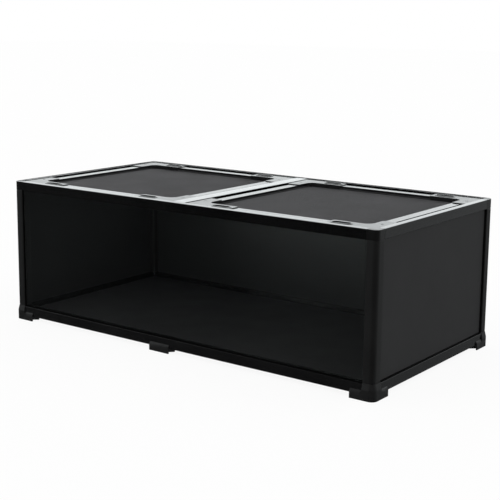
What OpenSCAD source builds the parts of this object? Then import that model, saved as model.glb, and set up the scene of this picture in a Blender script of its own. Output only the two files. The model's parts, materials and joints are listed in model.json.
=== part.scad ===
// Low, long terrarium with a glass front, opaque side and back panels and two lift-off mesh lids.
// The origin is on the floor under the middle of the tank, +X to the right, +Y to the back, +Z up.

/* [Frame] */
// Length of the frame, without the feet that stand proud of it
frame_w = 914; // [700:1:1200]
// Depth of the frame from front to back
frame_d = 457; // [380:1:600]
// Height of the frame from the underside of its rails to the rim
frame_h = 298; // [220:1:450]
// Radius of the frame's outer upright edges
corner_r = 10; // [4:1:14]

/* [Posts and rails] */
// Width of a corner post seen from the front
post_w = 23; // [22:1:30]
// Width of a corner post seen from the side
post_d = 24; // [22:1:30]
// Height of a bottom rail
bottom_rail_h = 20; // [19:1:26]
// Height of a top rail
top_rail_h = 19; // [17:1:26]
// Depth of a rail from its outer face to its inner edge
rail_t = 22; // [20:1:30]
// Width of the rim, the top face of a top rail
rim_w = 13; // [11:0.5:16]
// Height of the ledge that carries the lids
ledge_h = 7.5; // [7:0.5:9]
// Width of the bar between the lids, at the rim
crossbar_w = 29; // [24:1:40]
// Wall of a hollow extrusion
wall = 1.8; // [1.2:0.1:2.2]
// Width of a bottom rail's hollow
rail_hollow_w = 10; // [9:0.5:10.5]

/* [Panels] */
// Thickness of the glass and of the opaque panels
panel_t = 5; // [4:0.5:5.5]
// Distance from the frame's outer face back to a panel
panel_recess = 4; // [2:0.5:4.5]
// Depth to which a panel's edge sits in its groove
panel_bite = 8; // [5:0.5:9]
// Height of the base panel's underside above the underside of the rails
base_lift = 5.5; // [4:0.5:8]
// Thickness of the base panel
base_t = 5; // [4:0.5:5.5]
// Gap round a panel in its groove
panel_gap = 0.3; // [0.1:0.1:0.5]

/* [Feet] */
// Height of the feet below the rails
foot_drop = 10; // [8:1:16]
// How far a foot stands out from the frame
foot_proud = 3; // [1:0.5:5]
// Length of a corner foot's arm from the frame's corner
foot_arm = 48; // [40:1:80]
// Height of a corner foot above the underside of the rails
foot_cap_h = 22; // [21:1:28]
// Height at which a corner foot starts to taper in
foot_taper_z = 10; // [8:1:14]
// Height of the skirt in front of the rails, below its slope
skirt_h = 3; // [1:1:6]
// Height of the slope at the skirt's top
skirt_slope = 5; // [2:1:7]
// Distance from the frame's face to a foot's inner edge
foot_depth = 18.5; // [14:0.5:22]
// Width of the lip along the front of a foot's underside
foot_lip = 2.5; // [1.5:0.5:5]
// Width of the heel along the inner edge of a foot's underside
foot_heel = 2; // [1:0.5:5]
// Height of the sloping underside where it meets the lip
foot_hollow_h = 3.5; // [1:0.5:5]
// Length of a middle foot
middle_foot_w = 51; // [30:1:80]
// Distance of the middle feet from the middle of the tank, to the left
middle_foot_off = 40; // [0:1:80]

/* [Corner joints] */
// Length of the tenons that enter the rails
tenon_len = 20; // [12:1:22]
// Length of the tenons that enter the posts
post_tenon_len = 25; // [15:1:40]
// Gap round a tenon
tenon_gap = 0.2; // [0.1:0.1:0.4]

/* [Lids] */
// Gap between a lid and the rim
lid_gap = 1; // [0.5:0.1:2]
// Gap between a lid and the ledge under it
seat_gap = 0.3; // [0.3:0.1:0.6]
// Width of the raised part of a lid's side strips
strip_w = 20; // [18:1:20]
// Height of the raised part of a lid's side strips
strip_h = 8.6; // [7:0.1:8.8]
// Width of the low flange along a strip's outer edge
flange_w = 10; // [8:0.5:10.5]
// Height of the low flange
flange_h = 2.5; // [2:0.1:3.5]
// Height of a lid's corner pieces
corner_h = 10.2; // [10:0.1:12]
// Length of a corner piece's arm along the front or back
corner_arm_x = 105; // [100:1:130]
// Length of a corner piece's arm along the side
corner_arm_y = 80; // [65:1:110]
// Width of the arm along the front or back
corner_wide_x = 34; // [34:1:40]
// Width of the arm along the side
corner_wide_y = 30; // [27:1:36]
// Radius of a corner piece's inner corner
corner_fillet = 16; // [8:1:24]
// Radius of a corner piece's outer corners
corner_round = 3; // [1:0.5:5]
// Length of strip held inside an arm along the front or back
strip_bite_x = 6; // [4:0.5:7]
// Length of strip held inside an arm along the side
strip_bite_y = 40; // [38:1:50]
// Gap round a strip inside a corner piece
strip_gap = 0.2; // [0.1:0.1:0.4]
// Thickness of the mesh
mesh_t = 0.8; // [0.5:0.1:1]
// Height of the mesh above the underside of a lid
mesh_lift = 0.6; // [0.5:0.1:0.8]
// Depth to which the mesh's edge sits in a strip
mesh_bite = 7; // [6:0.5:8]
// Number of openings across the mesh, each way
mesh_count = 12; // [4:1:12]
// Width of the bars between the mesh's openings
mesh_bar = 7; // [4:0.5:10]
// Width of the cord that holds the mesh
spline_w = 3; // [2:0.5:4]
// Height of the cord that holds the mesh
spline_h = 2.4; // [1:0.1:2.6]
// Depth to which the cord sits in a strip
spline_bite = 1; // [0.5:0.5:1.5]

/* [Latches] */
// Distance of a latch from the lid's corner, along the front or back
latch_x = 78; // [75:1:80]
// Distance of the thumb recess from the lid's edge
latch_y = 15; // [14:0.5:16]
// Length of the thumb recess
recess_len = 38; // [34:1:40]
// Width of the thumb recess
recess_w = 15; // [14:0.5:16]
// Width of the raised ring round the recess
ring_w = 3; // [2:0.5:4]
// Height of the raised ring
ring_h = 0.9; // [0.5:0.1:1]
// Travel of a latch
latch_travel = 6; // [3:0.5:6.5]
// Width of a latch's tongue
tongue_w = 20; // [14:1:24]
// Thickness of a latch's tongue
tongue_t = 2.6; // [1.5:0.1:2.8]
// Height of the tongue above the underside of a lid
tongue_lift = 4.7; // [4.2:0.1:5]
// Length of tongue that stays hidden behind the thumb recess
tongue_hide = 1; // [0.5:0.5:2]
// Gap round a sliding tongue
slide_gap = 0.3; // [0.2:0.1:0.5]
// Length of a latch's thumb piece
thumb_len = 18; // [12:1:22]
// Width of a latch's thumb piece
thumb_w = 6; // [4:0.5:7]
// Height of a latch's thumb piece above the tongue
thumb_h = 2.6; // [2:0.1:3]

/* [Screws] */
// Radius of a frame screw's thread
screw_r = 2; // [1.5:0.1:2.2]
// Radius of a frame screw's head
screw_head_r = 3.8; // [3:0.1:4.2]
// Height of a screw's head
screw_head_h = 2.2; // [1.5:0.1:2.5]
// Length of a frame screw under its head
screw_len = 12; // [10:0.5:14]
// Radius of a lid screw's thread
lid_screw_r = 1.5; // [1:0.1:1.8]
// Radius of a lid screw's head
lid_screw_head_r = 2.9; // [2.4:0.1:3.4]
// Length of a lid screw under its head
lid_screw_len = 6; // [4:0.5:7]
// Gap round a screw in its hole
screw_gap = 0.1; // [0.05:0.05:0.2]
// Distance of a lid screw from the lid's side
lid_screw_x = 13.5; // [13:0.5:15]
// Distance of a lid screw from the lid's front or back
lid_screw_y = 48; // [46:1:60]

/* [Hidden] */
$fn = 48;
hull_facets = 32;
cut = 1;
black = [0.07, 0.07, 0.08];
panel_black = [0.17, 0.17, 0.18];
mesh_grey = [0.3, 0.3, 0.31];
steel = [0.6, 0.6, 0.62];
glass_tint = [0.75, 0.85, 0.85, 0.3];

half_w = frame_w / 2;
half_d = frame_d / 2;
base_z = foot_drop;
top_z = foot_drop + frame_h;
top_rail_z = top_z - top_rail_h;
ledge_z = top_rail_z + ledge_h;
panel_low = base_z + bottom_rail_h - panel_bite;
panel_high = top_rail_z + panel_bite;
panel_in = panel_recess + panel_t;
sliver = wall / 100;

lid_w = half_w - rim_w - crossbar_w / 2 - 2 * lid_gap;
lid_d = frame_d - 2 * (rim_w + lid_gap);
lid_x = (half_w - rim_w + crossbar_w / 2) / 2;
lid_z = ledge_z + seat_gap;
mesh_z = lid_z + mesh_lift;
spline_z = mesh_z + mesh_t;
corner_top = lid_z + corner_h;
tongue_z = lid_z + tongue_lift;
recess_z = tongue_z + tongue_t + slide_gap;
recess_in = latch_y + recess_w / 2;
tongue_tail = recess_in + latch_travel + slide_gap + tongue_hide;
tongue_groove = latch_travel + slide_gap;
thumb_in = recess_in - slide_gap;

// Hollow in a bottom rail, in a top rail's ledge and in a post, each as [low corner, high corner]
rail_hollow = [[wall, wall], [wall + rail_hollow_w, bottom_rail_h - panel_bite - panel_gap - wall]];
ledge_hollow = [[panel_in + panel_gap + wall, wall], [rail_t - wall, ledge_h - wall]];
post_hollow = [[panel_in + panel_gap + wall, panel_in + panel_gap + wall],
               [post_w - wall, post_d - wall]];

foot_screw_at = post_w + tenon_len / 2;
crossbar_screw_x = crossbar_w / 3;
crossbar_screw_y = (rim_w + rail_t) / 2;

LEFT = -1;
RIGHT = 1;
FRONT = -1;
BACK = 1;

// Solid between two corners
module box(low, high) translate(low) cube(high - low);

// The same, grown by a gap on every side
module box_grown(low, high, gap) box(low - [gap, gap, gap], high + [gap, gap, gap]);

// Puts a shape drawn in the front left corner, with +X and +Y inward, into any corner
module at_corner(side_x, side_y)
    translate([side_x * half_w, side_y * half_d, 0])
        mirror([side_x > 0 ? 1 : 0, 0, 0])
            mirror([0, side_y > 0 ? 1 : 0, 0])
                children();

// The same for the corners of a lid
module at_lid_corner(lid, side_x, side_y)
    translate([lid * lid_x + side_x * lid_w / 2, side_y * lid_d / 2, 0])
        mirror([side_x > 0 ? 1 : 0, 0, 0])
            mirror([0, side_y > 0 ? 1 : 0, 0])
                children();

// Swaps the two plan axes, for what lies along a side in place of the front
module along_side() mirror([1, -1, 0]) children();

// Outline with its outer corner rounded, in the front left corner
module corner_outline(width, depth, radius) {
    translate([radius, 0]) square([width - radius, depth]);
    translate([0, radius]) square([width, depth - radius]);
    translate([radius, radius]) circle(radius);
}

// Rectangle with four round corners
module round_rect(width, depth, radius) {
    translate([radius, 0]) square([width - 2 * radius, depth]);
    translate([0, radius]) square([width, depth - 2 * radius]);
    for (x = [radius, width - radius], y = [radius, depth - radius])
        translate([x, y]) circle(radius);
}

// Upright slot with round ends, centred, lying along X
module oval(length, width, height)
    linear_extrude(height) {
        square([length - width, width], center = true);
        for (side = [-1, 1]) translate([side * (length - width) / 2, 0]) circle(width / 2);
    }

// Rectangle between two corners given as pairs
module flat_box(corners) translate(corners[0]) square(corners[1] - corners[0]);

// Every panel grown by a gap: 0 gives the panels, panel_gap gives their grooves
module front_sheet(gap)
    box_grown([-half_w + post_w - panel_bite, -half_d + panel_recess, panel_low],
              [half_w - post_w + panel_bite, -half_d + panel_in, panel_high], gap);

module side_sheet(gap)
    box_grown([-half_w + panel_recess, -half_d + post_d - panel_bite, panel_low],
              [-half_w + panel_in, half_d - post_d + panel_bite, panel_high], gap);

module base_sheet(gap)
    box_grown([-half_w + rail_t - panel_bite, -half_d + rail_t - panel_bite, base_z + base_lift],
              [half_w - rail_t + panel_bite, half_d - rail_t + panel_bite,
               base_z + base_lift + base_t], gap);

module panel_grooves() {
    front_sheet(panel_gap);
    mirror([0, 1, 0]) front_sheet(panel_gap);
    side_sheet(panel_gap);
    mirror([1, 0, 0]) side_sheet(panel_gap);
    base_sheet(panel_gap);
}

// Rail sections: X is the distance in from the outer face, Y is the height
module bottom_section()
    difference() {
        square([rail_t, bottom_rail_h]);
        flat_box(rail_hollow);
    }

module top_section()
    difference() {
        union() {
            square([rail_t, ledge_h]);
            square([rim_w, top_rail_h]);
        }
        flat_box(ledge_hollow);
        translate([rim_w - tongue_groove + lid_gap, tongue_z - top_rail_z - slide_gap])
            square([tongue_groove, tongue_t + 2 * slide_gap]);
    }

// A section drawn along the front, centred on X, standing at a height
module rail_along_front(length, height)
    translate([0, -half_d, height])
        rotate([90, 0, 90]) linear_extrude(length, center = true) children();

module rail_along_left(length, height)
    translate([-half_w, 0, height])
        rotate([90, 0, 0]) linear_extrude(length, center = true) children();

module long_bottom_rail()
    color(black) difference() {
        rail_along_front(frame_w - 2 * post_w, base_z) bottom_section();
        panel_grooves();
        frame_screw_holes();
    }

module short_bottom_rail()
    color(black) difference() {
        rail_along_left(frame_d - 2 * post_d, base_z) bottom_section();
        panel_grooves();
        frame_screw_holes();
    }

module long_top_rail()
    color(black) difference() {
        rail_along_front(frame_w - 2 * post_w, top_rail_z) top_section();
        panel_grooves();
        frame_screw_holes();
    }

module short_top_rail()
    color(black) difference() {
        rail_along_left(frame_d - 2 * post_d, top_rail_z) top_section();
        panel_grooves();
    }

// The bar rests on the long rails' ledges and has a ledge of its own on each side
module crossbar() {
    ledge = rail_t - rim_w;
    color(black) difference() {
        union() {
            box([-crossbar_w / 2, -half_d + rim_w, ledge_z], [crossbar_w / 2, half_d - rim_w, top_z]);
            box([-crossbar_w / 2 - ledge, -half_d + rail_t, top_rail_z],
                [crossbar_w / 2 + ledge, half_d - rail_t, ledge_z]);
        }
        box([-crossbar_w / 2 + wall, -half_d + rim_w - cut, ledge_z + wall],
            [crossbar_w / 2 - wall, half_d - rim_w + cut, top_z - wall]);
        frame_screw_holes();
    }
}

module corner_post(side_x, side_y)
    color(black) difference() {
        at_corner(side_x, side_y)
            translate([0, 0, base_z + foot_cap_h])
                linear_extrude(frame_h - foot_cap_h - top_rail_h)
                    difference() {
                        corner_outline(post_w, post_d, corner_r);
                        flat_box(post_hollow);
                    }
        panel_grooves();
    }

// Square tenon that fills a hollow with a gap all round
module tenon(hollow, length)
    linear_extrude(length)
        flat_box([hollow[0] + [tenon_gap, tenon_gap], hollow[1] - [tenon_gap, tenon_gap]]);

module rail_tenon(hollow, start, height)
    translate([start, 0, height]) rotate([90, 0, 90]) tenon(hollow, tenon_len);

// Both rail tenons of a corner
module rail_tenons(hollow, height) {
    rail_tenon(hollow, post_w, height);
    along_side() rail_tenon(hollow, post_d, height);
}

module top_corner(side_x, side_y)
    color(black) difference() {
        at_corner(side_x, side_y) {
            translate([0, 0, top_rail_z]) linear_extrude(ledge_h)
                corner_outline(post_w, post_d, corner_r);
            translate([0, 0, ledge_z]) linear_extrude(top_z - ledge_z)
                difference() {
                    corner_outline(post_w, post_d, corner_r);
                    translate([rim_w, rim_w]) square([post_w, post_d]);
                }
            translate([0, 0, top_rail_z - post_tenon_len]) tenon(post_hollow, post_tenon_len);
            rail_tenons(ledge_hollow, top_rail_z);
        }
        panel_grooves();
    }

// Section of a foot's arm: a pad under the rail, hollowed behind its lip, and a skirt in front
module foot_section() {
    lip_in = foot_lip - foot_proud;
    polygon([[-foot_proud, 0], [lip_in, 0], [lip_in, foot_hollow_h],
             [foot_depth - foot_heel, 0], [foot_depth, 0], [foot_depth, foot_drop], [0, foot_drop],
             [0, foot_drop + skirt_h + skirt_slope], [-foot_proud, foot_drop + skirt_h]]);
}

// Length of foot section along X from start to end, with its outer face to the front
module foot_length(start, end)
    translate([start, 0, 0]) rotate([90, 0, 90]) linear_extrude(end - start) foot_section();

// Fillet between the top of an arm's skirt and the cap
module skirt_fillet() {
    rise = foot_taper_z - skirt_h;
    translate([0, 0, foot_drop + skirt_h]) rotate([90, 0, 0]) linear_extrude(foot_proud)
        difference() {
            square([rise, rise]);
            translate([rise, rise]) circle(rise);
        }
}

module foot_arm_shape(start) {
    foot_length(start, foot_arm);
    translate([start, 0, 0]) skirt_fillet();
}

module corner_foot(side_x, side_y)
    color(black) difference() {
        at_corner(side_x, side_y) {
            translate([-foot_proud, -foot_proud, 0]) linear_extrude(foot_drop + foot_taper_z)
                corner_outline(post_w + foot_proud, post_d + foot_proud, corner_r + foot_proud);
            hull() {
                translate([-foot_proud, -foot_proud, foot_drop + foot_taper_z]) linear_extrude(sliver)
                    corner_outline(post_w + foot_proud, post_d + foot_proud,
                                   corner_r + foot_proud, $fn = hull_facets);
                translate([0, 0, foot_drop + foot_cap_h - sliver]) linear_extrude(sliver)
                    corner_outline(post_w, post_d, corner_r, $fn = hull_facets);
            }
            foot_arm_shape(post_w);
            along_side() foot_arm_shape(post_d);
            translate([0, 0, base_z + foot_cap_h]) tenon(post_hollow, post_tenon_len);
            rail_tenons(rail_hollow, base_z);
        }
        panel_grooves();
        frame_screw_holes();
    }

module middle_foot()
    color(black) difference() {
        translate([-middle_foot_off, -half_d, 0]) foot_length(-middle_foot_w / 2, middle_foot_w / 2);
        frame_screw_holes();
    }

// A screw with its head at the bottom and its top at z = 0, grown by a gap
module upward_screw(gap) {
    head_low = -screw_len - screw_head_h;
    translate([0, 0, -screw_len - gap]) cylinder(r = screw_r + gap, h = screw_len + 2 * gap);
    translate([0, 0, head_low - gap]) cylinder(r = screw_head_r + gap, h = screw_head_h + gap);
}

// Places of the screws up through the feet into the rails, and through the ledges into the crossbar
module at_frame_screws() {
    hollow_mid = (rail_hollow[0][0] + rail_hollow[1][0]) / 2;
    foot_top = foot_drop / 2 + screw_len;
    for (side_x = [LEFT, RIGHT], side_y = [FRONT, BACK])
        at_corner(side_x, side_y) {
            translate([foot_screw_at, hollow_mid, foot_top]) children();
            translate([hollow_mid, foot_screw_at, foot_top]) children();
        }
    for (side_y = [FRONT, BACK], side = [-1, 1])
        translate([-middle_foot_off + side * middle_foot_w / 4, side_y * (half_d - hollow_mid), foot_top])
            children();
    for (side_y = [FRONT, BACK], side = [-1, 1])
        translate([side * crossbar_screw_x, side_y * (half_d - crossbar_screw_y),
                   top_rail_z + screw_len])
            children();
}

// Holes for the frame screws, each with a counterbore down to the open
module frame_screw_holes()
    at_frame_screws() {
        upward_screw(screw_gap);
        translate([0, 0, -screw_len - foot_drop]) cylinder(r = screw_head_r + screw_gap, h = foot_drop);
    }

// Lid shapes shared by its strips, mesh and corners, for a lid centred on x = 0.
// A strip is a low flange on the outer side and a raised part that holds the mesh.
strip_in = flange_w + strip_w;
mesh_edge = strip_in - mesh_bite;
spline_edge = strip_in - spline_bite;

module strip_x(gap) {
    reach = lid_w / 2 - corner_arm_x + strip_bite_x;
    box_grown([-reach, -lid_d / 2, lid_z], [reach, -lid_d / 2 + strip_in, lid_z + flange_h], gap);
    box_grown([-reach, -lid_d / 2 + flange_w, lid_z],
              [reach, -lid_d / 2 + strip_in, lid_z + strip_h], gap);
}

module strip_y(gap) {
    reach = lid_d / 2 - corner_arm_y + strip_bite_y;
    box_grown([-lid_w / 2, -reach, lid_z], [-lid_w / 2 + strip_in, reach, lid_z + flange_h], gap);
    box_grown([-lid_w / 2 + flange_w, -reach, lid_z],
              [-lid_w / 2 + strip_in, reach, lid_z + strip_h], gap);
}

module mesh_sheet(gap)
    box_grown([-lid_w / 2 + mesh_edge, -lid_d / 2 + mesh_edge, mesh_z],
              [lid_w / 2 - mesh_edge, lid_d / 2 - mesh_edge, mesh_z + mesh_t], gap);

// Plain grid of openings inside the cord
module mesh_openings() {
    open = [lid_w - 2 * (spline_edge + spline_w), lid_d - 2 * (spline_edge + spline_w)];
    pitch = open / mesh_count;
    for (column = [0:mesh_count - 1], row = [0:mesh_count - 1])
        translate([column * pitch[0] - open[0] / 2 + mesh_bar / 2,
                   row * pitch[1] - open[1] / 2 + mesh_bar / 2, mesh_z - cut])
            cube([pitch[0] - mesh_bar, pitch[1] - mesh_bar, mesh_t + 2 * cut]);
}

// Cord that lies on the mesh all round, along the inner edge of the strips
module spline_ring(gap) {
    outer = [lid_w / 2 - spline_edge, lid_d / 2 - spline_edge];
    inner = outer - [spline_w, spline_w];
    difference() {
        box_grown([-outer[0], -outer[1], spline_z], [outer[0], outer[1], spline_z + spline_h], gap);
        box([-inner[0] + gap, -inner[1] + gap, spline_z - cut],
            [inner[0] - gap, inner[1] - gap, spline_z + spline_h + cut]);
    }
}

module lid_strip(lid, turn, flip)
    color(black) translate([lid * lid_x, 0, 0]) difference() {
        mirror(flip) if (turn) strip_y(0); else strip_x(0);
        mesh_sheet(panel_gap / 2);
        spline_ring(panel_gap / 2);
        lid_screw_holes();
    }

module corner_plan()
    union() {
        round_rect(corner_arm_x, corner_wide_x, corner_round);
        round_rect(corner_wide_y, corner_arm_y, corner_round);
        translate([corner_wide_y, corner_wide_x]) difference() {
            square([corner_fillet, corner_fillet]);
            translate([corner_fillet, corner_fillet]) circle(corner_fillet);
        }
    }

// Slot for a latch's tongue, open to the lid's edge, and the thumb recess above it
module latch_space() {
    translate([latch_x - tongue_w / 2 - slide_gap, -cut, tongue_z - slide_gap])
        cube([tongue_w + 2 * slide_gap, tongue_tail + cut, tongue_t + 2 * slide_gap]);
    translate([latch_x, latch_y, recess_z - slide_gap])
        oval(recess_len, recess_w, corner_h);
}

module lid_corner(lid, side_x, side_y)
    color(black) difference() {
        at_lid_corner(lid, side_x, side_y) difference() {
            union() {
                translate([0, 0, lid_z]) linear_extrude(corner_h) corner_plan();
                translate([latch_x, latch_y, corner_top])
                    oval(recess_len + 2 * ring_w, recess_w + 2 * ring_w, ring_h);
            }
            latch_space();
        }
        translate([lid * lid_x, 0, 0]) {
            for (side = [0, 1]) {
                mirror([0, side, 0]) strip_x(strip_gap);
                mirror([side, 0, 0]) strip_y(strip_gap);
            }
            mesh_sheet(panel_gap / 2);
            spline_ring(panel_gap / 2);
            lid_screw_holes();
        }
    }

// A latch stands unlocked, with its tongue inside the lid's edge
module latch(lid, side_x, side_y)
    color(panel_black) at_lid_corner(lid, side_x, side_y) {
        translate([latch_x - tongue_w / 2, slide_gap, tongue_z])
            cube([tongue_w, tongue_tail - 2 * slide_gap, tongue_t]);
        translate([latch_x, thumb_in - thumb_w / 2, tongue_z + tongue_t])
            oval(thumb_len, thumb_w, thumb_h);
    }

module at_lid_screws()
    for (side_x = [0, 1], side_y = [0, 1])
        mirror([side_x, 0, 0]) mirror([0, side_y, 0])
            translate([-lid_w / 2 + lid_screw_x, -lid_d / 2 + lid_screw_y, corner_top - screw_head_h])
                children();

// A screw with its head's underside at z = 0, grown by a gap
module lid_screw(gap) {
    translate([0, 0, -lid_screw_len - gap]) cylinder(r = lid_screw_r + gap, h = lid_screw_len + gap);
    translate([0, 0, -gap]) cylinder(r = lid_screw_head_r + gap, h = screw_head_h + 2 * gap);
}

module lid_screw_holes() at_lid_screws() lid_screw(screw_gap);

module lid_screws(lid)
    color(steel) translate([lid * lid_x, 0, 0]) at_lid_screws() lid_screw(0);

module lid_mesh(lid)
    color(mesh_grey) translate([lid * lid_x, 0, 0]) difference() {
        mesh_sheet(0);
        mesh_openings();
    }

module lid_spline(lid) color(black) translate([lid * lid_x, 0, 0]) spline_ring(0);

long_bottom_rail();  // bottom_rail_front
mirror([0, 1, 0]) long_bottom_rail();  // bottom_rail_back
short_bottom_rail();  // bottom_rail_left
mirror([1, 0, 0]) short_bottom_rail();  // bottom_rail_right
long_top_rail();  // top_rail_front
mirror([0, 1, 0]) long_top_rail();  // top_rail_back
short_top_rail();  // top_rail_left
mirror([1, 0, 0]) short_top_rail();  // top_rail_right
crossbar();  // centre_crossbar
corner_post(LEFT, FRONT);  // corner_post_front_left
corner_post(RIGHT, FRONT);  // corner_post_front_right
corner_post(LEFT, BACK);  // corner_post_back_left
corner_post(RIGHT, BACK);  // corner_post_back_right
top_corner(LEFT, FRONT);  // top_corner_front_left
top_corner(RIGHT, FRONT);  // top_corner_front_right
top_corner(LEFT, BACK);  // top_corner_back_left
top_corner(RIGHT, BACK);  // top_corner_back_right
corner_foot(LEFT, FRONT);  // corner_foot_front_left
corner_foot(RIGHT, FRONT);  // corner_foot_front_right
corner_foot(LEFT, BACK);  // corner_foot_back_left
corner_foot(RIGHT, BACK);  // corner_foot_back_right
middle_foot();  // middle_foot_front
mirror([0, 1, 0]) middle_foot();  // middle_foot_back
color(glass_tint) front_sheet(0);  // front_glass
color(panel_black) mirror([0, 1, 0]) front_sheet(0);  // back_panel
color(panel_black) side_sheet(0);  // left_panel
color(panel_black) mirror([1, 0, 0]) side_sheet(0);  // right_panel
color(panel_black) base_sheet(0);  // base_panel
color(steel) at_frame_screws() upward_screw(0);  // frame_screws
lid_strip(LEFT, false, [0, 0, 0]);  // left_lid_strip_front
lid_strip(LEFT, false, [0, 1, 0]);  // left_lid_strip_back
lid_strip(LEFT, true, [0, 0, 0]);  // left_lid_strip_left
lid_strip(LEFT, true, [1, 0, 0]);  // left_lid_strip_right
lid_corner(LEFT, LEFT, FRONT);  // left_lid_corner_front_left
lid_corner(LEFT, RIGHT, FRONT);  // left_lid_corner_front_right
lid_corner(LEFT, LEFT, BACK);  // left_lid_corner_back_left
lid_corner(LEFT, RIGHT, BACK);  // left_lid_corner_back_right
lid_mesh(LEFT);  // left_lid_mesh
lid_spline(LEFT);  // left_lid_spline
lid_screws(LEFT);  // left_lid_screws
latch(LEFT, LEFT, FRONT);  // left_lid_latch_front_left
latch(LEFT, RIGHT, FRONT);  // left_lid_latch_front_right
latch(LEFT, LEFT, BACK);  // left_lid_latch_back_left
latch(LEFT, RIGHT, BACK);  // left_lid_latch_back_right
lid_strip(RIGHT, false, [0, 0, 0]);  // right_lid_strip_front
lid_strip(RIGHT, false, [0, 1, 0]);  // right_lid_strip_back
lid_strip(RIGHT, true, [0, 0, 0]);  // right_lid_strip_left
lid_strip(RIGHT, true, [1, 0, 0]);  // right_lid_strip_right
lid_corner(RIGHT, LEFT, FRONT);  // right_lid_corner_front_left
lid_corner(RIGHT, RIGHT, FRONT);  // right_lid_corner_front_right
lid_corner(RIGHT, LEFT, BACK);  // right_lid_corner_back_left
lid_corner(RIGHT, RIGHT, BACK);  // right_lid_corner_back_right
lid_mesh(RIGHT);  // right_lid_mesh
lid_spline(RIGHT);  // right_lid_spline
lid_screws(RIGHT);  // right_lid_screws
latch(RIGHT, LEFT, FRONT);  // right_lid_latch_front_left
latch(RIGHT, RIGHT, FRONT);  // right_lid_latch_front_right
latch(RIGHT, LEFT, BACK);  // right_lid_latch_back_left
latch(RIGHT, RIGHT, BACK);  // right_lid_latch_back_right
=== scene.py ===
"""Looks of the terrarium: finishes, rounded edges, wire mesh, seals, screws, latches, light and camera."""
import json
import math

import bmesh
import bpy
from mathutils import Matrix, Vector


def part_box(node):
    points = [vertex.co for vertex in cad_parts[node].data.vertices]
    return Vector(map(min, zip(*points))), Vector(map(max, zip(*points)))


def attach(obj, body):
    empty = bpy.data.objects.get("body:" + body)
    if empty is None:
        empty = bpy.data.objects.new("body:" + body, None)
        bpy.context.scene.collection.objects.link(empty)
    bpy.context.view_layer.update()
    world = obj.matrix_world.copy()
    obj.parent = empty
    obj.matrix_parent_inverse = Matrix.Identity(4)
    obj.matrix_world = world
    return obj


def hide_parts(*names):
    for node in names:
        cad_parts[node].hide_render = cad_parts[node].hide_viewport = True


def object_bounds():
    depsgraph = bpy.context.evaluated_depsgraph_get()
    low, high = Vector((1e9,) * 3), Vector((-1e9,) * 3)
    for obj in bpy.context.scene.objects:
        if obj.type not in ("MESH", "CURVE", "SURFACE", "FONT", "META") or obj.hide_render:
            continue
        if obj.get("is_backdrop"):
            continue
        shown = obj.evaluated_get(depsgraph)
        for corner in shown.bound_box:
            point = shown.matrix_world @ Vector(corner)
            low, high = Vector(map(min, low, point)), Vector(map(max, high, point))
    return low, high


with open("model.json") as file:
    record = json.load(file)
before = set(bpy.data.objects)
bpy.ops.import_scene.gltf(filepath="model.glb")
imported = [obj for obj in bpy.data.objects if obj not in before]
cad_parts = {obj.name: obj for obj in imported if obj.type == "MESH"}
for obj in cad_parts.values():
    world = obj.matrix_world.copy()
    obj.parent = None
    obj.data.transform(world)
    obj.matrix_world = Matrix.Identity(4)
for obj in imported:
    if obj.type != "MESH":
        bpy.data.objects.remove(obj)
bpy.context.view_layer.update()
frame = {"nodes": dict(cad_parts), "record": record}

MM = 0.001
LIDS = ("left", "right")
CORNERS = ("front_left", "front_right", "back_left", "back_right")

# Camera, as seen in the photograph: its place in metres, its angles in degrees
CAMERA_AT = (1.418, -1.890, 0.667)
CAMERA_AZIMUTH = 36.60
CAMERA_ELEVATION = 10.44
CAMERA_ROLL = 0.56
CAMERA_LENS = 81.76
CAMERA_SHIFT_Y = -0.05
CAMERA_CLIP = (0.05, 100)
SENSOR = 36.0


def make_camera():
    """Camera at the photograph's viewing angle, with verticals nearly upright."""
    azimuth, elevation, roll = (math.radians(a) for a in (CAMERA_AZIMUTH, CAMERA_ELEVATION, CAMERA_ROLL))
    back = Vector((math.sin(azimuth) * math.cos(elevation),
                   -math.cos(azimuth) * math.cos(elevation),
                   math.sin(elevation)))
    level = Vector((math.cos(azimuth), math.sin(azimuth), 0))
    up = back.cross(level)
    right = level * math.cos(roll) + up * math.sin(roll)
    data = bpy.data.cameras.new("camera")
    data.lens = CAMERA_LENS
    data.sensor_width = SENSOR
    data.shift_y = CAMERA_SHIFT_Y
    data.clip_start, data.clip_end = CAMERA_CLIP
    camera = bpy.data.objects.new("camera", data)
    bpy.context.scene.collection.objects.link(camera)
    turn = Matrix((right, back.cross(right), back)).transposed().to_4x4()
    camera.matrix_world = Matrix.Translation(CAMERA_AT) @ turn
    bpy.context.scene.camera = camera


def new_tree(name):
    """A material with an empty node tree, and its output node."""
    material = bpy.data.materials.new(name)
    material.use_nodes = True
    tree = material.node_tree
    tree.nodes.clear()
    return material, tree, tree.nodes.new("ShaderNodeOutputMaterial")


def noise(tree, scale, detail, stretch=(1, 1, 1)):
    """Noise texture in the part's own coordinates. Returns its value."""
    place = tree.nodes.new("ShaderNodeTexCoord")
    mapping = tree.nodes.new("ShaderNodeMapping")
    mapping.inputs["Scale"].default_value = stretch
    texture = tree.nodes.new("ShaderNodeTexNoise")
    texture.inputs["Scale"].default_value = scale
    texture.inputs["Detail"].default_value = detail
    tree.links.new(place.outputs["Object"], mapping.inputs["Vector"])
    tree.links.new(mapping.outputs["Vector"], texture.inputs["Vector"])
    return texture.outputs["Fac"]


def mapped(tree, source, start, end, low, high, smooth=False):
    """A value that goes from low to high as the source goes from start to end."""
    node = tree.nodes.new("ShaderNodeMapRange")
    if smooth:
        node.interpolation_type = "SMOOTHSTEP"
    for name, value in (("From Min", start), ("From Max", end), ("To Min", low), ("To Max", high)):
        node.inputs[name].default_value = value
    tree.links.new(source, node.inputs["Value"])
    return node.outputs["Result"]


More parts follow.
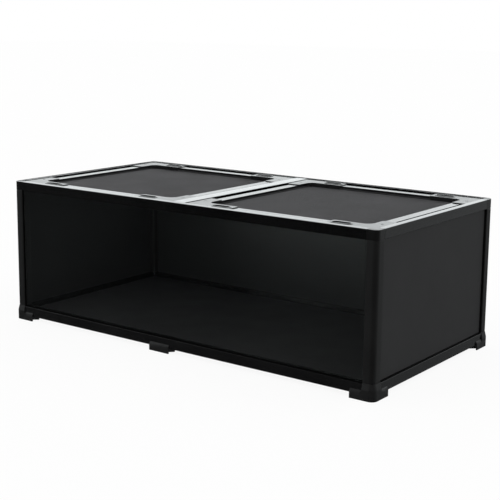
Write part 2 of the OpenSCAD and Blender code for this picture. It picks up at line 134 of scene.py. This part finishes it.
def combined(tree, operation, first, second):
    """Math node on two values."""
    node = tree.nodes.new("ShaderNodeMath")
    node.operation = operation
    tree.links.new(first, node.inputs[0])
    tree.links.new(second, node.inputs[1])
    return node.outputs["Value"]


STUDIO_BEHIND_GLASS = 0.2
SHEET_FACES = 2


def studio_share(tree):
    """How much a ray sees the studio of make_world and not the white surroundings: none of it directly or
    through glass, all of it in a mirror image, and STUDIO_BEHIND_GLASS of it in a mirror image whose ray
    passes a sheet of glass on its way in and again on its way out."""
    path = tree.nodes.new("ShaderNodeLightPath")
    mirrored = mapped(tree, path.outputs["Glossy Depth"], 0, 1, 0, 1)
    behind = mapped(tree, path.outputs["Transmission Depth"], SHEET_FACES, 2 * SHEET_FACES, 1,
                    STUDIO_BEHIND_GLASS)
    return combined(tree, "MULTIPLY", mirrored, behind)


def blend_colour(tree, source, dark, light):
    """Mixes two colours by a 0 to 1 value."""
    node = tree.nodes.new("ShaderNodeMix")
    node.data_type = "RGBA"
    node.inputs["A"].default_value = (*dark, 1)
    node.inputs["B"].default_value = (*light, 1)
    tree.links.new(source, node.inputs["Factor"])
    return node.outputs["Result"]


# Broad noise for colour and roughness, fine noise for the grain
BROAD_SCALE = 14
BROAD_DETAIL = 3
FINE_DETAIL = 2
NOISE_SPREAD = (0.3, 0.7)
GRAIN_STRENGTH = 0.35
COAT_ROUGHNESS = 0.06

# How far the grain is drawn out along each axis
ALL_WAYS = (1, 1, 1)
ALONG_X = (0.02, 1, 1)
ALONG_Y = (1, 0.02, 1)
ALONG_Z = (1, 1, 0.02)

# Outward lean of the rim's level faces, as rise over run
CROWN_SLOPE = 0.05


def rim_crown(tree, normal):
    """Leans the frame's level faces outward by three degrees, as the crown of its rim does."""
    low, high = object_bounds()
    place = tree.nodes.new("ShaderNodeTexCoord")
    parts = tree.nodes.new("ShaderNodeSeparateXYZ")
    tree.links.new(place.outputs["Object"], parts.inputs["Vector"])
    reach = []
    for axis in (0, 1):
        node = tree.nodes.new("ShaderNodeMath")
        node.operation = "ABSOLUTE"
        tree.links.new(parts.outputs[axis], node.inputs[0])
        reach.append(mapped(tree, node.outputs["Value"], 0, high[axis], high[axis] * CROWN_SLOPE, 0))
    crown = tree.nodes.new("ShaderNodeBump")
    crown.inputs["Strength"].default_value = 1
    crown.inputs["Distance"].default_value = 1
    tree.links.new(combined(tree, "MINIMUM", *reach), crown.inputs["Height"])
    tree.links.new(normal, crown.inputs["Normal"])
    return crown.outputs["Normal"]


def coated(name, dark, light, rough, grain, bump, specular=0.5, coat=0.0, lines=ALL_WAYS, metal=0.0,
           crowned=False):
    """Moulded or coated surface: colour from dark to light, roughness within a range, and a fine grain
    of the given scale and height. Lines stretch the grain along one axis, as on an extrusion."""
    material, tree, output = new_tree(name)
    shader = tree.nodes.new("ShaderNodeBsdfPrincipled")
    shader.inputs["Specular IOR Level"].default_value = specular
    shader.inputs["Coat Weight"].default_value = coat
    shader.inputs["Coat Roughness"].default_value = COAT_ROUGHNESS
    shader.inputs["Metallic"].default_value = metal
    broad = noise(tree, BROAD_SCALE, BROAD_DETAIL)
    fine = noise(tree, grain, FINE_DETAIL, lines)
    tree.links.new(blend_colour(tree, mapped(tree, broad, *NOISE_SPREAD, 0, 1), dark, light),
                   shader.inputs["Base Color"])
    tree.links.new(mapped(tree, broad, *NOISE_SPREAD, *rough), shader.inputs["Roughness"])
    height = tree.nodes.new("ShaderNodeBump")
    height.inputs["Strength"].default_value = GRAIN_STRENGTH
    height.inputs["Distance"].default_value = bump
    tree.links.new(fine, height.inputs["Height"])
    normal = height.outputs["Normal"]
    if crowned:
        normal = rim_crown(tree, normal)
        tree.links.new(normal, shader.inputs["Coat Normal"])
    tree.links.new(normal, shader.inputs["Normal"])
    tree.links.new(shader.outputs["BSDF"], output.inputs["Surface"])
    return material


GLASS_TINT = (0.93, 0.97, 0.96, 1)
GLASS_IOR = 1.5


def clear_glass(name):
    """Clear sheet with a faint green tint. Light passes straight through it."""
    material, tree, output = new_tree(name)
    glass = tree.nodes.new("ShaderNodeBsdfPrincipled")
    glass.inputs["Base Color"].default_value = GLASS_TINT
    glass.inputs["Transmission Weight"].default_value = 1
    glass.inputs["Roughness"].default_value = 0
    glass.inputs["IOR"].default_value = GLASS_IOR
    clear = tree.nodes.new("ShaderNodeBsdfTransparent")
    path = tree.nodes.new("ShaderNodeLightPath")
    mix = tree.nodes.new("ShaderNodeMixShader")
    tree.links.new(path.outputs["Is Shadow Ray"], mix.inputs["Fac"])
    tree.links.new(glass.outputs["BSDF"], mix.inputs[1])
    tree.links.new(clear.outputs["BSDF"], mix.inputs[2])
    tree.links.new(mix.outputs["Shader"], output.inputs["Surface"])
    return material


BLUE_CAST = 1.04


def grey(value):
    """Near-neutral colour with a faint blue cast."""
    return (value, value, value * BLUE_CAST)


def rail(name, lines, tone=0.0025, coat=1.0, crowned=False):
    """Glossy black coat of a frame rail. A tone above the default gives a lighter copy of it, and that
    extra lightness is painted light.
    """
    return coated(name, grey(tone), grey(tone * 1.5), (0.10, 0.15), 1500, 0.02 * MM,
                  coat=coat, lines=lines, crowned=crowned)


def strip(name, lines):
    """Semi-gloss black coat of a lid's strip."""
    return coated(name, grey(0.008), grey(0.012), (0.18, 0.26), 1500, 0.02 * MM, coat=0.8, lines=lines)


RAIL_X = rail("rail_black_x", ALONG_X, crowned=True)
RAIL_Y = rail("rail_black_y", ALONG_Y, crowned=True)
# Bottom rails: copies of the rail coat with a lighter base colour, painted light for the brighter tone
# their faces take, the front and back ones most, the side ones a little
LOW_RAIL_X_PAINTED_LIGHT = rail("low_rail_black_x_painted_light", ALONG_X, 0.0055, 0.5)
LOW_RAIL_Y_PAINTED_LIGHT = rail("low_rail_black_y_painted_light", ALONG_Y, 0.003, 0.2)
BAR = rail("bar_black", ALONG_Y)
POST = coated("post_black", grey(0.004), grey(0.006), (0.52, 0.58), 1500, 0.02 * MM,
              specular=0.8, lines=ALONG_Z)
TOP_CORNER = coated("top_corner_black", grey(0.003), grey(0.005), (0.24, 0.32), 1400, 0.04 * MM,
                    coat=0.6, crowned=True)
FOOT = coated("foot_black", grey(0.008), grey(0.012), (0.40, 0.50), 1400, 0.12 * MM)
PANEL = coated("panel_black", grey(0.017), grey(0.021), (0.38, 0.46), 1800, 0.04 * MM)
STRIP_X = strip("strip_black_x", ALONG_X)
STRIP_Y = strip("strip_black_y", ALONG_Y)
LID_CORNER = coated("lid_corner_black", grey(0.008), grey(0.014), (0.24, 0.34), 1600, 0.06 * MM,
                    coat=0.6)
LATCH = coated("latch_black", grey(0.006), grey(0.010), (0.30, 0.42), 1600, 0.10 * MM, specular=0.3)
# Wire: black-coated steel given a mid-grey base colour, a painted sheen that stands in for the light its
# wires reflect
WIRE_PAINTED_SHEEN = coated("wire_black_with_painted_sheen", grey(0.106), grey(0.143), (0.45, 0.60), 3000, 0.03 * MM, specular=0.4)
# Spline cord: black rubber given a grey base colour, a painted highlight for the light its rounded top
# catches
CORD_PAINTED_HIGHLIGHT = coated("cord_painted_highlight", grey(0.030), grey(0.040), (0.50, 0.65), 2500, 0.10 * MM, specular=0.3)
# Seal rubber: black, with colour and gloss taken down to almost none, so that the seals also paint the
# shade of the gaps beside the sheets
RUBBER_AND_PAINTED_SHADE = coated("rubber_black_and_painted_gap_shade", grey(0.001), grey(0.002), (0.60, 0.75), 2500, 0.10 * MM, specular=0.05)
STEEL = coated("zinc_steel", (0.30, 0.30, 0.31), (0.42, 0.42, 0.43), (0.26, 0.40), 2500, 0.04 * MM,
               metal=1.0)
GLASS = clear_glass("front_glass")

# Finish by the start of a node's name: its material and the radius of its edges in millimetres
FINISHES = [
    ("bottom_rail_front", LOW_RAIL_X_PAINTED_LIGHT, 0.7), ("bottom_rail_back", LOW_RAIL_X_PAINTED_LIGHT, 0.7),
    ("bottom_rail", LOW_RAIL_Y_PAINTED_LIGHT, 0.7),
    ("top_rail_front", RAIL_X, 0.7), ("top_rail_back", RAIL_X, 0.7),
    ("top_rail", RAIL_Y, 0.7), ("centre_crossbar", BAR, 0.7),
    ("corner_post", POST, 1.4),
    ("top_corner", TOP_CORNER, 0.7),
    ("corner_foot", FOOT, 0.8), ("middle_foot", FOOT, 0.8),
    ("front_glass", GLASS, 0.5),
    ("back_panel", PANEL, 0.4), ("left_panel", PANEL, 0.4), ("right_panel", PANEL, 0.4),
    ("base_panel", PANEL, 0.4)]
LID_FINISHES = [
    ("strip_front", STRIP_X, 0.6), ("strip_back", STRIP_X, 0.6), ("strip", STRIP_Y, 0.6),
    ("corner", LID_CORNER, 0.4), ("spline", CORD_PAINTED_HIGHLIGHT, 0.6)]
FINISHES += [(f"{lid}_lid_{start}", material, radius)
             for lid in LIDS for start, material, radius in LID_FINISHES]

# Rounded edges
WELD_DISTANCE = 0.01 * MM
EDGE_SEGMENTS = 2
EDGE_ANGLE = math.radians(40)
NORMAL_WEIGHT = 80


def round_edges(piece, radius):
    """Rounds the sharp edges of a piece."""
    bevel = piece.modifiers.new("edges", "BEVEL")
    bevel.width = radius
    bevel.segments = EDGE_SEGMENTS
    bevel.limit_method = "ANGLE"
    bevel.angle_limit = EDGE_ANGLE
    piece.modifiers.new("normals", "WEIGHTED_NORMAL").weight = NORMAL_WEIGHT


def finish_node(node):
    """Puts a material on a CAD node and rounds its edges. Nodes that are replaced are left alone."""
    for start, material, radius in FINISHES:
        if node.startswith(start):
            break
    else:
        return
    piece = frame["nodes"][node]
    for place in piece.material_slots:
        place.link = "OBJECT"
        place.material = material
    weld = piece.modifiers.new("weld", "WELD")
    weld.merge_threshold = WELD_DISTANCE
    round_edges(piece, radius * MM)


def new_piece(name, vertices, faces, material, body):
    """A mesh object from lists of corners and faces, riding on a body."""
    mesh = bpy.data.meshes.new(name)
    mesh.from_pydata(vertices, [], faces)
    mesh.validate()
    return mesh_piece(name, mesh, material, body)


def mesh_piece(name, mesh, material, body):
    """An object with a finished mesh, with its faces turned outward, riding on a body."""
    work = bmesh.new()
    work.from_mesh(mesh)
    bmesh.ops.recalc_face_normals(work, faces=work.faces)
    work.to_mesh(mesh)
    work.free()
    mesh.materials.append(material)
    piece = bpy.data.objects.new(name, mesh)
    bpy.context.scene.collection.objects.link(piece)
    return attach(piece, body)


WIRE_PITCH = 2.0 * MM
WIRE_WIDTH = 0.46 * MM
WIRE_LAYER = 0.37 * WIRE_WIDTH
WIRE_SIDES = 6


def add_wire(vertices, faces, start, end):
    """Straight round wire between two points."""
    along = (end - start).normalized()
    side = along.orthogonal().normalized()
    other = along.cross(side)
    first = len(vertices)
    for centre in (start, end):
        for step in range(WIRE_SIDES):
            angle = 2 * math.pi * step / WIRE_SIDES
            vertices.append(centre + (side * math.cos(angle) + other * math.sin(angle)) * WIRE_WIDTH / 2)
    for step in range(WIRE_SIDES):
        after = (step + 1) % WIRE_SIDES
        faces.append((first + step, first + after, first + WIRE_SIDES + after, first + WIRE_SIDES + step))
    faces.append(tuple(first + step for step in reversed(range(WIRE_SIDES))))
    faces.append(tuple(first + WIRE_SIDES + step for step in range(WIRE_SIDES)))


def make_mesh(lid):
    """Wire cloth of a lid: two crossed layers of straight wires, in the place of its thin sheet."""
    low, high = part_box(f"{lid}_lid_mesh")
    middle = (low.z + high.z) / 2
    vertices, faces = [], []
    for axis in (0, 1):
        across = 1 - axis
        count = int((high[across] - low[across] - WIRE_WIDTH) / WIRE_PITCH)
        margin = (high[across] - low[across] - count * WIRE_PITCH) / 2
        height = middle + (WIRE_LAYER if axis else -WIRE_LAYER)
        for step in range(count + 1):
            start = Vector((0, 0, height))
            end = Vector((0, 0, height))
            start[across] = end[across] = low[across] + margin + step * WIRE_PITCH
            start[axis], end[axis] = low[axis], high[axis]
            add_wire(vertices, faces, start, end)
    piece = new_piece(f"{lid}_lid_wire_cloth", vertices, faces, WIRE_PAINTED_SHEEN, f"{lid}_lid")
    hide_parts(f"{lid}_lid_mesh")


SEAL_W = 2.6 * MM
SEAL_T = 2.4 * MM
SEAL_ROUND = 5
SEAL_POINTS = 4
# Shares of SEAL_W along the sides of an opening; the wide share, at the rear posts, also paints the shade
# of the deeper gap there
SEAL_NARROW = 0.4
SEAL_WIDE = 1.4


def seal_section():
    """Section of a seal: how far in from the opening's edge, and how far out from the sheet."""
    arc = [(SEAL_W * math.cos(turn), SEAL_T * math.sin(turn))
           for turn in (math.pi / 2 * step / SEAL_ROUND for step in range(SEAL_ROUND + 1))]
    return [(0, 0)] + arc


def make_seal_and_painted_shade(sheet, across, outward, sides, widths=(SEAL_NARROW, SEAL_NARROW)):
    """Black bead in the corner between a sheet and its frame, along the bottom of the opening and along
    both its sides, where it is narrower or wider: a rubber seal whose near-black colour also paints the
    shade in the gap. Across is the opening's level axis."""
    depth = 1 - across
    low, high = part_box(sheet)
    face = high[depth] if outward > 0 else low[depth]
    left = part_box(f"corner_post_{sides[0]}")[1][across]
    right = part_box(f"corner_post_{sides[1]}")[0][across]
    rail_side = sheet.split("_")[0]
    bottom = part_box(f"bottom_rail_{rail_side}")[1].z
    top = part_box(f"top_rail_{rail_side}")[0].z
    section = seal_section()
    vertices, faces = [], []
    for inset, out in section:
        first, last = left + inset * widths[0], right - inset * widths[1]
        for level, height in ((first, top), (first, bottom + inset), (last, bottom + inset), (last, top)):
            corner = Vector((0, 0, height))
            corner[across] = level
            corner[depth] = face + outward * out
            vertices.append(corner)
    stops = len(section)
    for row in range(stops):
        after = (row + 1) % stops
        here, there = SEAL_POINTS * row, SEAL_POINTS * after
        for leg in range(SEAL_POINTS - 1):
            faces.append((here + leg, here + leg + 1, there + leg + 1, there + leg))
    faces.append(tuple(SEAL_POINTS * row for row in range(stops)))
    faces.append(tuple(SEAL_POINTS * (row + 1) - 1 for row in reversed(range(stops))))
    new_piece(f"{sheet}_seal", vertices, faces, RUBBER_AND_PAINTED_SHADE, "frame")


def node_clusters(node, reach):
    """Boxes of a node's separate small solids, found by how near their corners lie in plan."""
    groups = []
    for vertex in frame["nodes"][node].data.vertices:
        point = vertex.co
        for low, high in groups:
            if ((low.xy + high.xy) / 2 - point.xy).length < reach:
                for axis in range(3):
                    low[axis] = min(low[axis], point[axis])
                    high[axis] = max(high[axis], point[axis])
                break
        else:
            groups.append((point.copy(), point.copy()))
    return groups


SCREW_SIDES = 24
# Shares of the shank's radius, of the head's radius and of the head's height
TIP_R = 0.6
HEAD_RIM_H = 0.35
HEAD_SHOULDER_R = 0.86
HEAD_SHOULDER_H = 0.78
HEAD_FLAT = 0.62
CROSS_LENGTH = 0.50
CROSS_WIDTH = 0.15
CROSS_DEPTH = 0.6
CROSS_TAPER = 0.7


def add_ring(work, centre, radius, height):
    """Circle of corners at a height."""
    return [work.verts.new(centre + Vector((radius * math.cos(turn), radius * math.sin(turn), height)))
            for turn in (2 * math.pi * step / SCREW_SIDES for step in range(SCREW_SIDES))]


def join_rings(work, lower, upper):
    """Band of faces between two rings of corners."""
    for step in range(len(lower)):
        after = (step + 1) % len(lower)
        work.faces.new((lower[step], lower[after], upper[after], upper[step]))


def add_screw(work, low, high, head_up, head_h, shank_r):
    """Round-headed screw with a cross recess that fills a box, with its head up or down."""
    centre = Vector(((low.x + high.x) / 2, (low.y + high.y) / 2, 0))
    head_r = (high.x - low.x) / 2
    tip, crown = (low.z, high.z) if head_up else (high.z, low.z)
    way = 1 if head_up else -1
    seat = crown - way * head_h
    profile = [(shank_r * TIP_R, tip), (shank_r, tip + way * shank_r), (shank_r, seat),
               (head_r, seat), (head_r, seat + way * head_h * HEAD_RIM_H),
               (head_r * HEAD_SHOULDER_R, seat + way * head_h * HEAD_SHOULDER_H),
               (head_r * HEAD_FLAT, crown)]
    rings = [add_ring(work, centre, radius, height) for radius, height in profile]
    work.faces.new(rings[0])
    for lower, upper in zip(rings, rings[1:]):
        join_rings(work, lower, upper)
    arm, half = head_r * CROSS_LENGTH, head_r * CROSS_WIDTH
    outline = [(arm, -half), (arm, half), (half, half), (half, arm), (-half, arm), (-half, half),
               (-arm, half), (-arm, -half), (-half, -half), (-half, -arm), (half, -arm), (half, -half)]
    mouth = [work.verts.new(centre + Vector((x, y, crown))) for x, y in outline]
    bottom = crown - way * head_h * CROSS_DEPTH
    floor = [work.verts.new(centre + Vector((x * CROSS_TAPER, y * CROSS_TAPER, bottom)))
             for x, y in outline]
    join_rings(work, floor, mouth)
    work.faces.new(floor)
    edges = [work.edges.get((ring[step - 1], ring[step])) or work.edges.new((ring[step - 1], ring[step]))
             for ring in (rings[-1], mouth) for step in range(len(ring))]
    bmesh.ops.triangle_fill(work, edges=edges, use_beauty=True)


SCREW_CLUSTER = 6 * MM
SCREW_HEAD_H = 2.2 * MM
LID_SCREW_SHANK_R = 1.5 * MM
FRAME_SCREW_SHANK_R = 2.0 * MM


def make_screws(node, body, head_up, shank_r):
    """Detailed screws in the place of a node's plain ones."""
    work = bmesh.new()
    for low, high in node_clusters(node, SCREW_CLUSTER):
        add_screw(work, low, high, head_up, SCREW_HEAD_H, shank_r)
    mesh = bpy.data.meshes.new(f"{node}_cross_head")
    work.to_mesh(mesh)
    work.free()
    piece = mesh_piece(f"{node}_cross_head", mesh, STEEL, body)
    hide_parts(node)


TONGUE_T = 2.6 * MM
THUMB_W = 6 * MM
THUMB_LEN = 18 * MM
THUMB_ROUND = 12
RIB_COUNT = 3
RIB_H = 0.6 * MM
RIB_W = 0.9 * MM
RIB_INSET = 0.4 * THUMB_W
LATCH_EDGE = 0.15 * MM
# Corners within this of a latch's top belong to its thumb piece
TOP_BAND = 0.1 * MM


def add_prism(vertices, faces, outline, low, high):
    """Upright solid on a plan outline."""
    first = len(vertices)
    count = len(outline)
    for height in (low, high):
        vertices.extend(Vector((x, y, height)) for x, y in outline)
    for step in range(count):
        after = (step + 1) % count
        faces.append((first + step, first + after, first + count + after, first + count + step))
    faces.append(tuple(first + step for step in reversed(range(count))))
    faces.append(tuple(first + count + step for step in range(count)))


def oval(centre_x, centre_y, length, width):
    """Plan outline with round ends, lying along X."""
    reach = (length - width) / 2
    points = []
    for side in (1, -1):
        for step in range(THUMB_ROUND + 1):
            turn = math.pi * (step / THUMB_ROUND - 0.5) + (0 if side > 0 else math.pi)
            points.append((centre_x + side * reach + width / 2 * math.cos(turn),
                           centre_y + width / 2 * math.sin(turn)))
    return points


def thumb_centre(node):
    """Middle of the CAD thumb piece, from its highest corners."""
    points = [vertex.co for vertex in frame["nodes"][node].data.vertices]
    top = max(point.z for point in points)
    spots = [point.y for point in points if point.z > top - TOP_BAND]
    return (min(spots) + max(spots)) / 2


def make_latch(node):
    """Latch with a flat tongue and a thumb piece with grip ribs, in the place of the plain one."""
    low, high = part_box(node)
    middle = (low.x + high.x) / 2
    thumb_y = thumb_centre(node)
    vertices, faces = [], []
    tongue = [(low.x, low.y), (high.x, low.y), (high.x, high.y), (low.x, high.y)]
    add_prism(vertices, faces, tongue, low.z, low.z + TONGUE_T)
    body_top = high.z - RIB_H
    add_prism(vertices, faces, oval(middle, thumb_y, THUMB_LEN, THUMB_W), low.z + TONGUE_T, body_top)
    step = THUMB_W / (RIB_COUNT + 1)
    for rib in range(RIB_COUNT):
        rib_y = thumb_y - THUMB_W / 2 + step * (rib + 1)
        reach = THUMB_LEN - 2 * abs(rib_y - thumb_y) - RIB_INSET
        add_prism(vertices, faces, oval(middle, rib_y, reach, RIB_W), body_top - RIB_H / 2, high.z)
    piece = new_piece(f"{node}_ribbed", vertices, faces, LATCH, node)
    round_edges(piece, LATCH_EDGE)
    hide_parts(node)


FLOOR_SIZE = 40
FLOOR_GREY = (0.9, 0.9, 0.9, 1)
FLOOR_GLOW = 0.92


def make_floor():
    """Plain pale floor that shows as white, also through glass, and keeps a soft shadow. Mirror images
    show the studio of make_world in its place."""
    bpy.ops.mesh.primitive_plane_add(size=FLOOR_SIZE)
    floor = bpy.context.object
    floor.name = "floor"
    material, tree, output = new_tree("floor_white")
    plain = tree.nodes.new("ShaderNodeBsdfDiffuse")
    plain.inputs["Color"].default_value = FLOOR_GREY
    glow = tree.nodes.new("ShaderNodeEmission")
    glow.inputs["Strength"].default_value = 1
    path = tree.nodes.new("ShaderNodeLightPath")
    seen = combined(tree, "MAXIMUM", path.outputs["Is Camera Ray"], path.outputs["Is Transmission Ray"])
    mix = tree.nodes.new("ShaderNodeMixShader")
    tree.links.new(mapped(tree, seen, 0, 1, 0, FLOOR_GLOW), mix.inputs["Fac"])
    tree.links.new(plain.outputs["BSDF"], mix.inputs[1])
    tree.links.new(glow.outputs["Emission"], mix.inputs[2])
    studio = tree.nodes.new("ShaderNodeBsdfTransparent")
    gloss = tree.nodes.new("ShaderNodeMixShader")
    tree.links.new(studio_share(tree), gloss.inputs["Fac"])
    tree.links.new(mix.outputs["Shader"], gloss.inputs[1])
    tree.links.new(studio.outputs["BSDF"], gloss.inputs[2])
    tree.links.new(gloss.outputs["Shader"], output.inputs["Surface"])
    floor.data.materials.append(material)
    floor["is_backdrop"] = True


# The studio by direction: a value of the direction from and to, and the brightness at each
WALL_BACK = (0.24, 0.56, 0.06, 1.25)
WALL_LEFT = (-0.40, -0.80, 0.0, 1.4)
WALL_TOP = (0.32, 0.62, 1.0, 0.05)
WALL_FOOT = (0.080, 0.115, 0.0, 1.0)
GROUND_RIGHT = (1.1, 1.3, 0.005, 0.17)
GROUND_LEFT = (-0.60, -0.80, 0.005, 0.04)
GROUND_BACK = (0.80, 0.92, 0.005, 0.17)
GROUND_END = (-0.03, 0.03, 1.0, 0.0)
STUDIO_COLOUR = (0.95, 0.99, 1.0, 1)


def make_world():
    """Even white light all round, also through glass. Mirror images show a studio: a bright wall behind
    and to the left of the object, up to a third of the way overhead, and dark elsewhere."""
    world = bpy.data.worlds.new("world")
    world.use_nodes = True
    tree = world.node_tree
    tree.nodes.clear()
    place = tree.nodes.new("ShaderNodeTexCoord")
    parts = tree.nodes.new("ShaderNodeSeparateXYZ")
    tree.links.new(place.outputs["Generated"], parts.inputs["Vector"])
    x, y, z = (parts.outputs[axis] for axis in "XYZ")
    wall = combined(tree, "MAXIMUM",
                    mapped(tree, y, *WALL_BACK, smooth=True),
                    mapped(tree, x, *WALL_LEFT, smooth=True))
    wall = combined(tree, "MULTIPLY", wall, mapped(tree, z, *WALL_TOP, smooth=True))
    wall = combined(tree, "MULTIPLY", wall, mapped(tree, z, *WALL_FOOT, smooth=True))
    ground = combined(tree, "MAXIMUM",
                      mapped(tree, combined(tree, "ADD", x, y), *GROUND_RIGHT, smooth=True),
                      mapped(tree, x, *GROUND_LEFT, smooth=True))
    ground = combined(tree, "MAXIMUM", ground, mapped(tree, y, *GROUND_BACK, smooth=True))
    ground = combined(tree, "MULTIPLY", ground, mapped(tree, z, *GROUND_END, smooth=True))
    level = combined(tree, "ADD", wall, ground)
    studio = tree.nodes.new("ShaderNodeBackground")
    studio.inputs["Color"].default_value = STUDIO_COLOUR
    tree.links.new(level, studio.inputs["Strength"])
    white = tree.nodes.new("ShaderNodeBackground")
    white.inputs["Color"].default_value = (1, 1, 1, 1)
    mix = tree.nodes.new("ShaderNodeMixShader")
    tree.links.new(studio_share(tree), mix.inputs["Fac"])
    tree.links.new(white.outputs["Background"], mix.inputs[1])
    tree.links.new(studio.outputs["Background"], mix.inputs[2])
    output = tree.nodes.new("ShaderNodeOutputWorld")
    tree.links.new(mix.outputs["Shader"], output.inputs["Surface"])
    bpy.context.scene.world = world


make_camera()
for entry in frame["record"]["subparts"]:
    finish_node(entry["node"])
for lid in LIDS:
    make_mesh(lid)
    make_screws(f"{lid}_lid_screws", f"{lid}_lid", True, LID_SCREW_SHANK_R)
    for corner in CORNERS:
        make_latch(f"{lid}_lid_latch_{corner}")
make_screws("frame_screws", "frame", False, FRAME_SCREW_SHANK_R)
make_seal_and_painted_shade("front_glass", 0, -1, ("front_left", "front_right"))
make_seal_and_painted_shade("back_panel", 0, 1, ("back_left", "back_right"))
make_seal_and_painted_shade("left_panel", 1, -1, ("front_left", "back_left"), (SEAL_NARROW, SEAL_WIDE))
make_seal_and_painted_shade("right_panel", 1, 1, ("front_right", "back_right"), (SEAL_NARROW, SEAL_WIDE))
make_floor()
make_world()

bpy.context.scene.view_settings.view_transform = "Standard"
